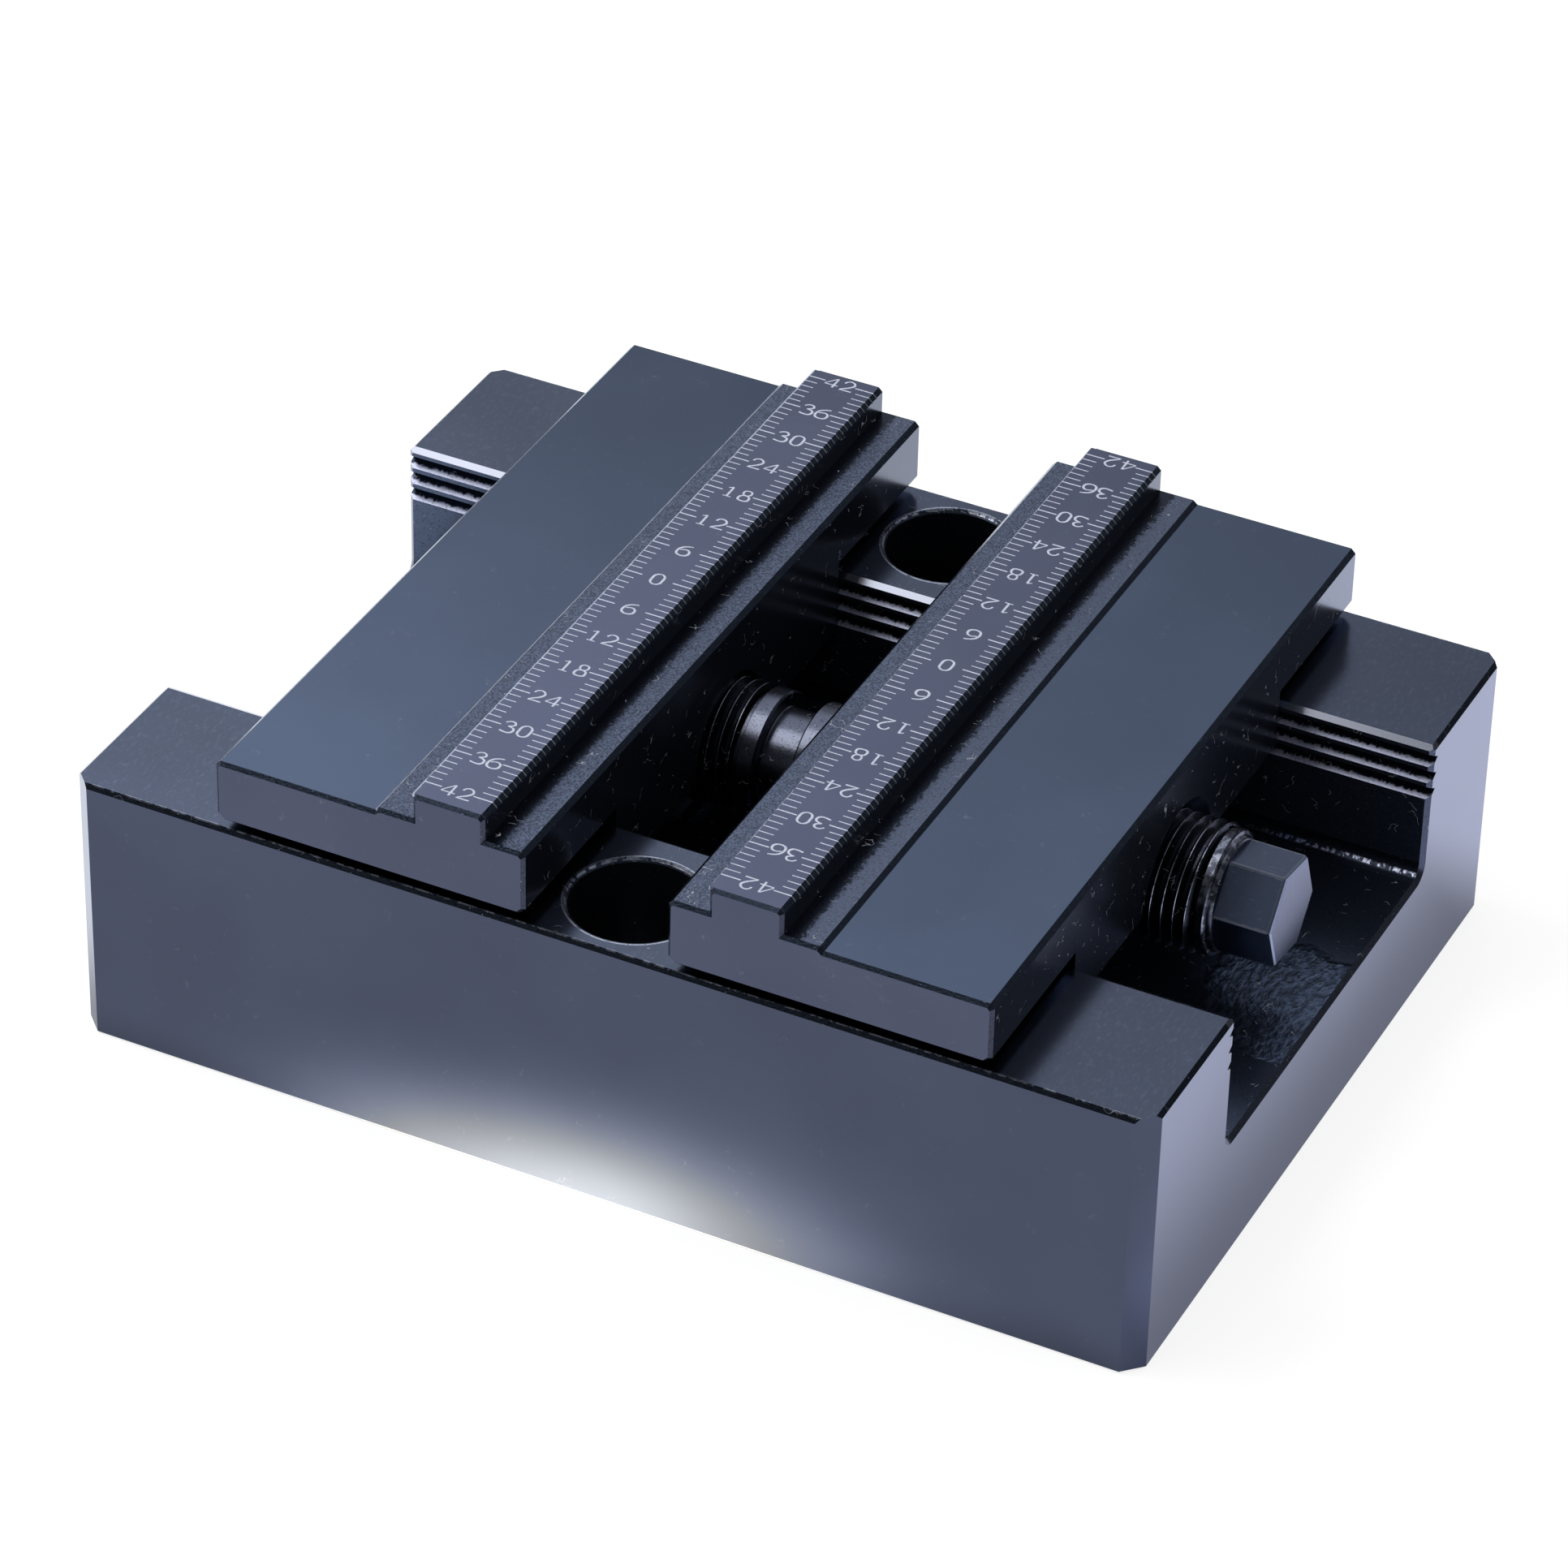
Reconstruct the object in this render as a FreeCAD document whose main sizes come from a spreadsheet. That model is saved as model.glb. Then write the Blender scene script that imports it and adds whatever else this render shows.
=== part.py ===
"""A self-centering vise: two stepped jaws on multi-vee guideways, drawn together by one two-handed screw.

The frame's origin is at the centre of the base's underside. X runs along the screw towards its hexagon,
Y along the jaws and Z up. Lengths are in millimetres and angles in degrees.
"""
import FreeCAD, Part
import os
import re

import Sketcher

Vector = FreeCAD.Vector

DRIVING_DIMENSIONS = (
    # The base body and its channel
    ("base_length", 118.4),
    ("base_width", 88.7),
    ("base_height", 31.1),
    ("corner_bevel", 2.0),
    ("top_bevel", 0.45),
    ("foot_bevel", 0.3),
    ("rail_width", 19.25),
    ("channel_depth", 15.85),
    ("channel_fillet", 1.5),
    ("lip_width", 0.7),
    ("lip_height", 0.4),
    ("mouth_bevel", 0.5),
    # The vee guideways, counted down from the top of the base
    ("vee_count", 3),
    ("vee_pitch", 2.0),
    ("vee_depth", 1.3),
    ("vee_angle", 60),
    ("vee_drop", 1.6),
    ("guide_clearance", 0.1),
    # The two holes that bolt the base down
    ("bolt_inset", 8.8),
    ("bolt_hole_diameter", 9.0),
    ("bolt_head_diameter", 13.5),
    ("bolt_seat_height", 11.0),
    ("bolt_bevel", 0.35),
    # The slab on top of each jaw
    ("jaw_opening", 15.55),
    ("jaw_depth", 34.45),
    ("jaw_inset", 0.1),
    ("jaw_gap", 0.9),
    ("slab_thickness", 7.0),
    ("ledge_depth", 4.4),
    ("ledge_rise", 0.42),
    ("rib_width", 7.9),
    ("rib_rise", 3.35),
    ("rib_bevel", 0.45),
    ("root_reach", 3.8),
    ("root_bevel", 0.5),
    ("front_bevel", 0.5),
    ("rear_bevel", 0.5),
    ("slab_foot_bevel", 0.7),
    ("end_bevel", 0.38),
    # The guide block and the nut boss under each slab
    ("guide_foot", 1.3),
    ("guide_bevel", 1.8),
    ("nut_width", 20.0),
    ("nut_bevel", 1.5),
    ("nut_front", 4.2),
    ("nut_back", 6.0),
    ("nut_floor_gap", 1.0),
    ("bore_clearance", 0.05),
    ("collar_clearance", 0.55),
    ("bore_bevel", 1.4),
    # The lead screw, measured from its neck at the middle of the vise
    ("screw_drop", 5.6),
    ("thread_diameter", 13.8),
    ("thread_reach", 46.9),
    ("tail_reach", 46.5),
    ("tail_bevel", 1.0),
    ("neck_diameter", 10.5),
    ("neck_length", 4.0),
    ("collar_length", 1.9),
    ("collar_bevel", 0.2),
    ("runout_length", 0.8),
    ("runout_depth", 0.75),
    ("land_diameter", 13.2),
    ("land_length", 0.8),
    ("shoulder_length", 0.6),
    ("hex_across_flats", 10.0),
    ("hex_length", 6.4),
    ("hex_bevel", 0.45),
    ("hex_turn", 51.4),
    # The retainer that holds the screw's neck, let into the underside
    ("saddle_width", 19.0),
    ("saddle_drop", 3.0),
    ("saddle_bevel", 0.5),
    ("neck_clearance", 0.05),
    ("plate_length", 56.0),
    ("plate_width", 16.0),
    ("plate_thickness", 6.5),
    ("plate_recess", 0.3),
    ("plate_bevel", 1.0),
    ("pocket_clearance", 0.1),
    # The cap screws and dowel pins of the retainer
    ("cap_screw_spacing", 35.0),
    ("cap_screw_diameter", 4.0),
    ("cap_screw_length", 8.0),
    ("cap_head_diameter", 7.0),
    ("cap_head_height", 4.0),
    ("cap_head_recess", 4.3),
    ("cap_socket_flats", 3.0),
    ("cap_socket_depth", 2.0),
    ("head_clearance", 0.25),
    ("tap_allowance", 1.2),
    ("pin_spacing", 48.0),
    ("pin_diameter", 4.0),
    ("pin_length", 12.0),
    ("fit_clearance", 0.02),
)

# What the driving dimensions give: heights above the underside, widths between the sides of the base,
# and places on a jaw from its inner face
DERIVED_DIMENSIONS = (
    ("channel_width", "base_width - 2 * rail_width"),
    ("bolt_spacing", "base_width - 2 * bolt_inset"),
    ("jaw_length", "base_width - 2 * jaw_inset"),
    ("floor_height", "base_height - channel_depth"),
    ("screw_height", "base_height - screw_drop"),
    ("vee_rise", "vee_depth * tan(vee_angle / 2)"),
    ("first_vee", "base_height - vee_drop"),
    ("block_width", "channel_width - 2 * guide_clearance"),
    ("ridge_height", "vee_depth + guide_clearance - guide_clearance / sin(vee_angle / 2)"),
    ("ridge_rise", "ridge_height * tan(vee_angle / 2)"),
    ("block_foot", "base_height - vee_drop - (vee_count - 1) * vee_pitch - guide_foot"),
    ("slab_foot", "base_height + jaw_gap"),
    ("plate_top", "slab_foot + slab_thickness"),
    ("rib_outer", "ledge_depth + rib_width"),
    ("ledge_top", "plate_top + ledge_rise"),
    ("rib_top", "plate_top + rib_rise"),
    ("bore_radius", "thread_diameter / 2 + bore_clearance"),
    ("collar_end", "neck_length / 2 + collar_length"),
    ("hex_start", "thread_reach + land_length + shoulder_length"),
    ("hex_radius", "hex_across_flats / (2 * cos(30))"),
    ("plate_seat", "plate_recess + plate_thickness"),
    ("cap_seat", "plate_recess + cap_head_recess"),
    ("saddle_thickness", "neck_length - 2 * neck_clearance"),
)

document = FreeCAD.newDocument("SelfCenteringVise")
sizes = document.addObject("Spreadsheet::Sheet", "Sizes")
for row, (alias, amount) in enumerate(DRIVING_DIMENSIONS + DERIVED_DIMENSIONS, start=1):
    sizes.set(f"A{row}", alias)
    sizes.set(f"B{row}", f"={amount}" if isinstance(amount, str) else str(amount))
    sizes.setAlias(f"B{row}", alias)
document.recompute()


def on_sheet(formula):
    """Point every dimension named in a formula at its cell on the sheet."""
    return re.sub(r"[a-z]+(_[a-z]+)+", r"Sizes.\g<0>", formula)


def bind(thing, path, formula):
    """Tie a property of a document object to a formula of dimensions."""
    thing.setExpression(path, on_sheet(formula))


def new_body(label):
    body = document.addObject("PartDesign::Body", label)
    body.Label = label
    return body


def new_sketch(body, name, plane, stand_off="0"):
    """Open a sketch on one of the body's own origin planes, moved off it along its normal."""
    drawing = body.newObject("Sketcher::SketchObject", name)
    support = next(feature for feature in body.Origin.OriginFeatures if feature.Role == plane)
    drawing.AttachmentSupport = [(support, "")]
    drawing.MapMode = "FlatFace"
    bind(drawing, "AttachmentOffset.Base.z", stand_off)
    return drawing


def hold(drawing, kind, edge, point, formula):
    """Set one coordinate of a sketch point, measured from the sketch's origin."""
    now = drawing.getPoint(edge, point)
    start = now.x if kind == "DistanceX" else now.y
    number = drawing.addConstraint(Sketcher.Constraint(kind, -1, 1, edge, point, start))
    bind(drawing, f"Constraints[{number}]", formula)


def draw_outline(drawing, corners):
    """Draw a closed outline of straight edges whose corners are pairs of formulas, across and up."""
    first = drawing.GeometryCount
    ring = [Vector(1, 0, 0)]
    for index in range(1, len(corners)):
        ring.append(FreeCAD.Rotation(Vector(0, 0, 1), 360 * index / len(corners)).multVec(ring[0]))
    for start, end in zip(ring, ring[1:] + ring[:1]):
        drawing.addGeometry(Part.LineSegment(start, end), False)
    for index, (across, up) in enumerate(corners):
        following = (index + 1) % len(corners)
        drawing.addConstraint(Sketcher.Constraint("Coincident", first + index, 2, first + following, 1))
        hold(drawing, "DistanceX", first + index, 1, across)
        hold(drawing, "DistanceY", first + index, 1, up)


def draw_rectangle(drawing, left, right, bottom, top):
    draw_outline(drawing, ((left, bottom), (right, bottom), (right, top), (left, top)))


def draw_circle(drawing, across, up, radius):
    edge = drawing.addGeometry(Part.Circle(Vector(0, 0, 0), Vector(0, 0, 1), 1.0), False)
    hold(drawing, "DistanceX", edge, 3, across)
    hold(drawing, "DistanceY", edge, 3, up)
    number = drawing.addConstraint(Sketcher.Constraint("Radius", edge, 1.0))
    bind(drawing, f"Constraints[{number}]", radius)


def draw_axis(drawing, start, end):
    """Add a construction line for a revolved feature to turn about."""
    edge = drawing.addGeometry(Part.LineSegment(Vector(-1, 0, 0), Vector(1, 0, 0)), True)
    for point, (across, up) in ((1, start), (2, end)):
        hold(drawing, "DistanceX", edge, point, across)
        hold(drawing, "DistanceY", edge, point, up)


def extrude(body, kind, drawing, length, side="One side", reverse=False):
    """Pad or pocket a sketch; side is One side or Symmetric, and no length means right through."""
    feature = body.newObject(f"PartDesign::{kind}", f"{drawing.Name}{kind}")
    feature.Profile = drawing
    feature.SideType = side
    feature.Reversed = reverse
    if length is None:
        feature.Type = "ThroughAll"
    else:
        bind(feature, "Length", length)
    drawing.Visibility = False
    document.recompute()
    return feature


def turn(body, kind, drawing, axis):
    """Revolve a sketch into a solid or a groove; axis is a pair of an object and its element."""
    feature = body.newObject(f"PartDesign::{kind}", f"{drawing.Name}{kind}")
    feature.Profile = drawing
    feature.ReferenceAxis = axis
    feature.Angle = 360
    drawing.Visibility = False
    document.recompute()
    return feature


def repeat_down(body, feature, drawing):
    """Repeat one vee or ridge down the wall, at the pitch of the guideway."""
    pattern = body.newObject("PartDesign::LinearPattern", f"{feature.Name}Row")
    pattern.Originals = [feature]
    pattern.Direction = (drawing, ["V_Axis"])
    pattern.Reversed = True
    pattern.Mode = "Spacing"
    bind(pattern, "Offset", "vee_pitch")
    bind(pattern, "Occurrences", "vee_count")
    body.Tip = pattern
    document.recompute()
    return pattern


def mirror_across(body, feature, plane):
    copy = body.newObject("PartDesign::Mirrored", f"{feature.Name}Mirrored")
    copy.Originals = [feature]
    copy.MirrorPlane = (next(item for item in body.Origin.OriginFeatures if item.Role == plane), [""])
    body.Tip = copy
    document.recompute()
    return copy


def dress(body, kind, size, chosen):
    """Bevel (Chamfer) or round (Fillet) the edges of the body that the test chosen picks."""
    base = body.Tip
    names = [f"Edge{number}" for number, edge in enumerate(base.Shape.Edges, start=1) if chosen(edge)]
    feature = body.newObject(f"PartDesign::{kind}", f"{body.Name}{kind}")
    feature.Base = (base, names)
    bind(feature, "Size" if kind == "Chamfer" else "Radius", size)
    document.recompute()
    return feature


def at(edge, x=None, y=None, z=None):
    """Tell whether the whole edge lies at the given distances from the middle planes, and height."""
    close = 1e-4
    ends = [edge.valueAt(edge.FirstParameter), edge.valueAt(edge.LastParameter), edge.CenterOfMass]
    for end in ends:
        if x is not None and abs(abs(end.x) - x) > close:
            return False
        if y is not None and abs(abs(end.y) - y) > close:
            return False
        if z is not None and abs(end.z - z) > close:
            return False
    return True


def make_base():
    """The base body: a block with a vee-walled channel, bolt holes and a pocket for the retainer."""
    body = new_body("base_body")
    plan = new_sketch(body, "BasePlan", "XY_Plane")
    draw_outline(plan, (
        ("base_length / 2", "corner_bevel - base_width / 2"),
        ("base_length / 2", "base_width / 2 - corner_bevel"),
        ("base_length / 2 - corner_bevel", "base_width / 2"),
        ("corner_bevel - base_length / 2", "base_width / 2"),
        ("-base_length / 2", "base_width / 2 - corner_bevel"),
        ("-base_length / 2", "corner_bevel - base_width / 2"),
        ("corner_bevel - base_length / 2", "-base_width / 2"),
        ("base_length / 2 - corner_bevel", "-base_width / 2"),
    ))
    extrude(body, "Pad", plan, "base_height")

    channel = new_sketch(body, "Channel", "YZ_Plane")
    draw_outline(channel, (
        ("channel_width / -2", "floor_height"),
        ("channel_width / 2", "floor_height"),
        ("channel_width / 2", "base_height - lip_height"),
        ("channel_width / 2 + lip_width", "base_height"),
        ("channel_width / 2 + lip_width", "base_height + lip_height"),
        ("channel_width / -2 - lip_width", "base_height + lip_height"),
        ("channel_width / -2 - lip_width", "base_height"),
        ("channel_width / -2", "base_height - lip_height"),
    ))
    extrude(body, "Pocket", channel, None, side="Symmetric")

    half_length = sizes.get("base_length") / 2
    half_width = sizes.get("base_width") / 2
    half_channel = sizes.get("channel_width") / 2
    top = sizes.get("base_height")
    floor = sizes.get("floor_height")
    dress(body, "Fillet", "channel_fillet", lambda edge: at(edge, y=half_channel, z=floor))
    dress(body, "Chamfer", "mouth_bevel", lambda edge: at(edge, x=half_length) and (
        edge.CenterOfMass.z > floor - 1e-4 and abs(edge.CenterOfMass.y) < half_channel + 1e-4))
    dress(body, "Chamfer", "top_bevel", lambda edge: at(edge, z=top) and (
        at(edge, x=half_length) or at(edge, y=half_width)))
    dress(body, "Chamfer", "foot_bevel", lambda edge: at(edge, z=0))

    vee = new_sketch(body, "Vee", "YZ_Plane")
    for side in ("1", "-1"):
        draw_outline(vee, (
            (f"{side} * channel_width / 2", "first_vee - vee_rise"),
            (f"{side} * (channel_width / 2 + vee_depth)", "first_vee"),
            (f"{side} * channel_width / 2", "first_vee + vee_rise"),
        ))
    repeat_down(body, extrude(body, "Pocket", vee, None, side="Symmetric"), vee)

    bolt = new_sketch(body, "BoltHole", "YZ_Plane")
    draw_outline(bolt, (
        ("bolt_spacing / 2", "-foot_bevel"),
        ("(bolt_spacing + bolt_hole_diameter) / 2", "-foot_bevel"),
        ("(bolt_spacing + bolt_hole_diameter) / 2", "bolt_seat_height"),
        ("(bolt_spacing + bolt_head_diameter) / 2", "bolt_seat_height"),
        ("(bolt_spacing + bolt_head_diameter) / 2", "base_height - bolt_bevel"),
        ("(bolt_spacing + bolt_head_diameter) / 2 + 2 * bolt_bevel", "base_height + bolt_bevel"),
        ("bolt_spacing / 2", "base_height + bolt_bevel"),
    ))
    draw_axis(bolt, ("bolt_spacing / 2", "0"), ("bolt_spacing / 2", "base_height"))
    mirror_across(body, turn(body, "Groove", bolt, (bolt, ["Axis0"])), "XZ_Plane")

    pocket = new_sketch(body, "RetainerPocket", "XY_Plane")
    draw_rectangle(pocket,
                   "-plate_width / 2 - pocket_clearance", "plate_width / 2 + pocket_clearance",
                   "-plate_length / 2 - pocket_clearance", "plate_length / 2 + pocket_clearance")
    extrude(body, "Pocket", pocket, "plate_seat", reverse=True)
    slot = new_sketch(body, "SaddleSlot", "XY_Plane")
    draw_rectangle(slot,
                   "-saddle_thickness / 2 - pocket_clearance", "saddle_thickness / 2 + pocket_clearance",
                   "-saddle_width / 2 - pocket_clearance", "saddle_width / 2 + pocket_clearance")
    extrude(body, "Pocket", slot, "floor_height + channel_depth / 2", reverse=True)

    taps = new_sketch(body, "TappedHoles", "XY_Plane")
    sockets = new_sketch(body, "PinHoles", "XY_Plane")
    for side in ("1", "-1"):
        draw_circle(taps, "0", f"{side} * cap_screw_spacing / 2", "cap_screw_diameter / 2 + fit_clearance")
        draw_circle(sockets, "0", f"{side} * pin_spacing / 2", "pin_diameter / 2 + fit_clearance")
    extrude(body, "Pocket", taps, "cap_seat + cap_screw_length + tap_allowance", reverse=True)
    extrude(body, "Pocket", sockets, "plate_recess + pin_length + tap_allowance", reverse=True)
    return body


def make_jaw(label, turned):
    """A jaw in one piece: the stepped slab, the ridged guide block and the threaded boss.

    It is drawn with its inner face at X = 0 and its back towards +X, and then set on its side of the vise.
    """
    body = new_body(label)
    prefix = label.split("_")[0].capitalize()
    slab = new_sketch(body, f"{prefix}Slab", "XZ_Plane")
    draw_outline(slab, (
        ("slab_foot_bevel", "slab_foot"),
        ("jaw_depth - slab_foot_bevel", "slab_foot"),
        ("jaw_depth", "slab_foot + slab_foot_bevel"),
        ("jaw_depth", "plate_top - rear_bevel"),
        ("jaw_depth - rear_bevel", "plate_top"),
        ("rib_outer + root_reach + root_bevel", "plate_top"),
        ("rib_outer + root_reach", "ledge_top"),
        ("rib_outer", "ledge_top"),
        ("rib_outer", "rib_top - rib_bevel"),
        ("rib_outer - rib_bevel", "rib_top"),
        ("ledge_depth + rib_bevel", "rib_top"),
        ("ledge_depth", "rib_top - rib_bevel"),
        ("ledge_depth", "ledge_top"),
        ("front_bevel", "ledge_top"),
        ("0", "ledge_top - front_bevel"),
        ("0", "slab_foot + slab_foot_bevel"),
    ))
    extrude(body, "Pad", slab, "jaw_length", side="Symmetric")
    half_length = sizes.get("jaw_length") / 2
    dress(body, "Chamfer", "end_bevel", lambda edge: at(edge, y=half_length))

    guide = new_sketch(body, f"{prefix}Guide", "XZ_Plane")
    draw_outline(guide, (
        ("0", "block_foot"),
        ("jaw_depth - guide_bevel", "block_foot"),
        ("jaw_depth", "block_foot + guide_bevel"),
        ("jaw_depth", "slab_foot + slab_foot_bevel"),
        ("jaw_depth - slab_foot_bevel", "slab_foot + slab_foot_bevel"),
        ("0", "slab_foot + slab_foot_bevel"),
    ))
    extrude(body, "Pad", guide, "block_width", side="Symmetric")

    ridge = new_sketch(body, f"{prefix}Ridge", "YZ_Plane")
    for side in ("1", "-1"):
        draw_outline(ridge, (
            (f"{side} * block_width / 2", "first_vee - ridge_rise"),
            (f"{side} * (block_width / 2 + ridge_height)", "first_vee"),
            (f"{side} * block_width / 2", "first_vee + ridge_rise"),
        ))
    repeat_down(body, extrude(body, "Pad", ridge, "jaw_depth - guide_bevel"), ridge)

    boss = new_sketch(body, f"{prefix}Nut", "YZ_Plane", stand_off="nut_front")
    draw_outline(boss, (
        ("nut_width / -2 + nut_bevel", "floor_height + nut_floor_gap"),
        ("nut_width / 2 - nut_bevel", "floor_height + nut_floor_gap"),
        ("nut_width / 2", "floor_height + nut_floor_gap + nut_bevel"),
        ("nut_width / 2", "slab_foot + slab_foot_bevel"),
        ("nut_width / -2", "slab_foot + slab_foot_bevel"),
        ("nut_width / -2", "floor_height + nut_floor_gap + nut_bevel"),
    ))
    extrude(body, "Pad", boss, "jaw_depth - nut_front - nut_back")

    bore = new_sketch(body, f"{prefix}Bore", "XZ_Plane")
    draw_outline(bore, (
        ("-front_bevel", "screw_height"),
        ("-front_bevel", "screw_height + bore_radius + collar_clearance"),
        ("nut_front", "screw_height + bore_radius + collar_clearance"),
        ("nut_front + collar_clearance", "screw_height + bore_radius"),
        ("jaw_depth - bore_bevel", "screw_height + bore_radius"),
        ("jaw_depth + bore_bevel", "screw_height + bore_radius + 2 * bore_bevel"),
        ("jaw_depth + bore_bevel", "screw_height"),
    ))
    draw_axis(bore, ("0", "screw_height"), ("jaw_depth", "screw_height"))
    turn(body, "Groove", bore, (bore, ["Axis0"]))

    side = -1 if turned else 1
    body.Placement = FreeCAD.Placement(Vector(), FreeCAD.Rotation(Vector(0, 0, 1), 180 if turned else 0))
    bind(body, "Placement.Base.x", f"{side} * jaw_opening / 2")
    return body


def make_screw():
    """The lead screw: opposite threads on its two halves, a neck at its middle and a hexagon at one end.

    It is drawn about the X axis and lifted to its height. The threaded lengths are plain at full diameter.
    """
    body = new_body("lead_screw")
    shank = new_sketch(body, "Shank", "XZ_Plane")
    draw_outline(shank, (
        ("-tail_reach", "0"),
        ("-tail_reach", "thread_diameter / 2 - tail_bevel"),
        ("tail_bevel - tail_reach", "thread_diameter / 2"),
        ("-collar_end - runout_length", "thread_diameter / 2"),
        ("-collar_end - runout_length", "thread_diameter / 2 - runout_depth"),
        ("-collar_end", "thread_diameter / 2 - runout_depth"),
        ("-collar_end", "thread_diameter / 2"),
        ("-neck_length / 2 - collar_bevel", "thread_diameter / 2"),
        ("-neck_length / 2", "thread_diameter / 2 - collar_bevel"),
        ("-neck_length / 2", "neck_diameter / 2"),
        ("neck_length / 2", "neck_diameter / 2"),
        ("neck_length / 2", "thread_diameter / 2 - collar_bevel"),
        ("neck_length / 2 + collar_bevel", "thread_diameter / 2"),
        ("collar_end", "thread_diameter / 2"),
        ("collar_end", "thread_diameter / 2 - runout_depth"),
        ("collar_end + runout_length", "thread_diameter / 2 - runout_depth"),
        ("collar_end + runout_length", "thread_diameter / 2"),
        ("thread_reach", "thread_diameter / 2"),
        ("thread_reach", "land_diameter / 2"),
        ("thread_reach + land_length", "land_diameter / 2"),
        ("hex_start", "hex_across_flats / 2"),
        ("hex_start", "0"),
    ))
    axis = next(feature for feature in body.Origin.OriginFeatures if feature.Role == "X_Axis")
    turn(body, "Revolution", shank, (axis, [""]))

    hexagon = new_sketch(body, "Hexagon", "YZ_Plane", stand_off="thread_reach + land_length")
    draw_outline(hexagon, [
        (f"hex_radius * cos(hex_turn + {60 * corner})", f"hex_radius * sin(hex_turn + {60 * corner})")
        for corner in range(6)
    ])
    extrude(body, "Pad", hexagon, "shoulder_length + hex_length")
    tip = sizes.get("hex_start") + sizes.get("hex_length")
    dress(body, "Chamfer", "hex_bevel", lambda edge: at(edge, x=tip))
    bind(body, "Placement.Base.z", "screw_height")
    return body


def make_retainer():
    """The screw retainer: a saddle that stands in the screw's neck, on a plate let into the underside."""
    body = new_body("screw_retainer")
    plate = new_sketch(body, "Plate", "XY_Plane", stand_off="plate_recess")
    draw_rectangle(plate, "-plate_width / 2", "plate_width / 2", "-plate_length / 2", "plate_length / 2")
    extrude(body, "Pad", plate, "plate_thickness")
    half_width = sizes.get("plate_width") / 2
    half_length = sizes.get("plate_length") / 2
    dress(body, "Chamfer", "plate_bevel", lambda edge: at(edge, x=half_width, y=half_length))

    saddle = new_sketch(body, "Saddle", "YZ_Plane")
    draw_outline(saddle, (
        ("saddle_width / -2", "plate_recess + plate_thickness / 2"),
        ("saddle_width / 2", "plate_recess + plate_thickness / 2"),
        ("saddle_width / 2", "screw_height - saddle_drop - saddle_bevel"),
        ("saddle_width / 2 - saddle_bevel", "screw_height - saddle_drop"),
        ("saddle_width / -2 + saddle_bevel", "screw_height - saddle_drop"),
        ("saddle_width / -2", "screw_height - saddle_drop - saddle_bevel"),
    ))
    extrude(body, "Pad", saddle, "saddle_thickness", side="Symmetric")
    seat = new_sketch(body, "NeckSeat", "YZ_Plane")
    draw_circle(seat, "0", "screw_height", "neck_diameter / 2 + neck_clearance")
    extrude(body, "Pocket", seat, "neck_length", side="Symmetric")

    heads = new_sketch(body, "HeadRecesses", "XY_Plane")
    holes = new_sketch(body, "ScrewHoles", "XY_Plane")
    sockets = new_sketch(body, "PlatePinHoles", "XY_Plane")
    for side in ("1", "-1"):
        place = f"{side} * cap_screw_spacing / 2"
        draw_circle(heads, "0", place, "cap_head_diameter / 2 + head_clearance")
        draw_circle(holes, "0", place, "cap_screw_diameter / 2 + head_clearance")
        draw_circle(sockets, "0", f"{side} * pin_spacing / 2", "pin_diameter / 2 + fit_clearance")
    extrude(body, "Pocket", heads, "cap_seat", reverse=True)
    extrude(body, "Pocket", holes, "plate_seat + plate_recess", reverse=True)
    extrude(body, "Pocket", sockets, "plate_seat + plate_recess", reverse=True)
    return body


def primitive(kind, name, **formulas):
    """Add a Part primitive whose sizes and place are formulas, with dots in paths written as __."""
    thing = document.addObject(f"Part::{kind}", name)
    for path, formula in formulas.items():
        bind(thing, path.replace("__", "."), formula)
    return thing


def join(kind, name, base, tool):
    thing = document.addObject(f"Part::{kind}", name)
    thing.Base = base
    thing.Tool = tool
    return thing


def make_group(label, members):
    group = document.addObject("Part::Compound", label)
    group.Label = label
    group.Links = members
    return group


def make_cap_screws():
    """The two socket head cap screws that hold the retainer, put in from beneath with their heads down."""
    screws = []
    for name, side in (("Rear", "1"), ("Front", "-1")):
        place = f"{side} * cap_screw_spacing / 2"
        head = primitive("Cylinder", f"{name}Head", Radius="cap_head_diameter / 2", Height="cap_head_height",
                         Placement__Base__y=place, Placement__Base__z="cap_seat - cap_head_height")
        shank = primitive("Cylinder", f"{name}CapShank", Radius="cap_screw_diameter / 2",
                          Height="cap_head_height / 2 + cap_screw_length",
                          Placement__Base__y=place, Placement__Base__z="cap_seat - cap_head_height / 2")
        socket = primitive("Prism", f"{name}Socket", Circumradius="cap_socket_flats / (2 * cos(30))",
                           Height="2 * cap_socket_depth", Placement__Base__y=place,
                           Placement__Base__z="cap_seat - cap_head_height - cap_socket_depth")
        blank = join("Fuse", f"{name}Blank", head, shank)
        screws.append(join("Cut", f"{name}CapScrew", blank, socket))
    return make_group("retainer_screws", screws)


def make_pins():
    """The two dowel pins that locate the retainer, and with it the centre of the vise."""
    pins = [
        primitive("Cylinder", name, Radius="pin_diameter / 2", Height="pin_length",
                  Placement__Base__y=f"{side} * pin_spacing / 2", Placement__Base__z="plate_recess")
        for name, side in (("RearPin", "1"), ("FrontPin", "-1"))
    ]
    return make_group("locating_pins", pins)


parts = (
    make_base(),
    make_jaw("left_jaw", turned=True),
    make_jaw("right_jaw", turned=False),
    make_screw(),
    make_retainer(),
    make_cap_screws(),
    make_pins(),
)
document.recompute()

for thing in document.Objects:
    if "Invalid" in thing.State or "Error" in thing.State:
        raise RuntimeError(f"{thing.Label} failed to build: {thing.State}")
for part in parts:
    if part.Shape.isNull() or not part.Shape.isValid() or not part.Shape.Solids:
        raise RuntimeError(f"{part.Label} has no valid solid")

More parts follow.
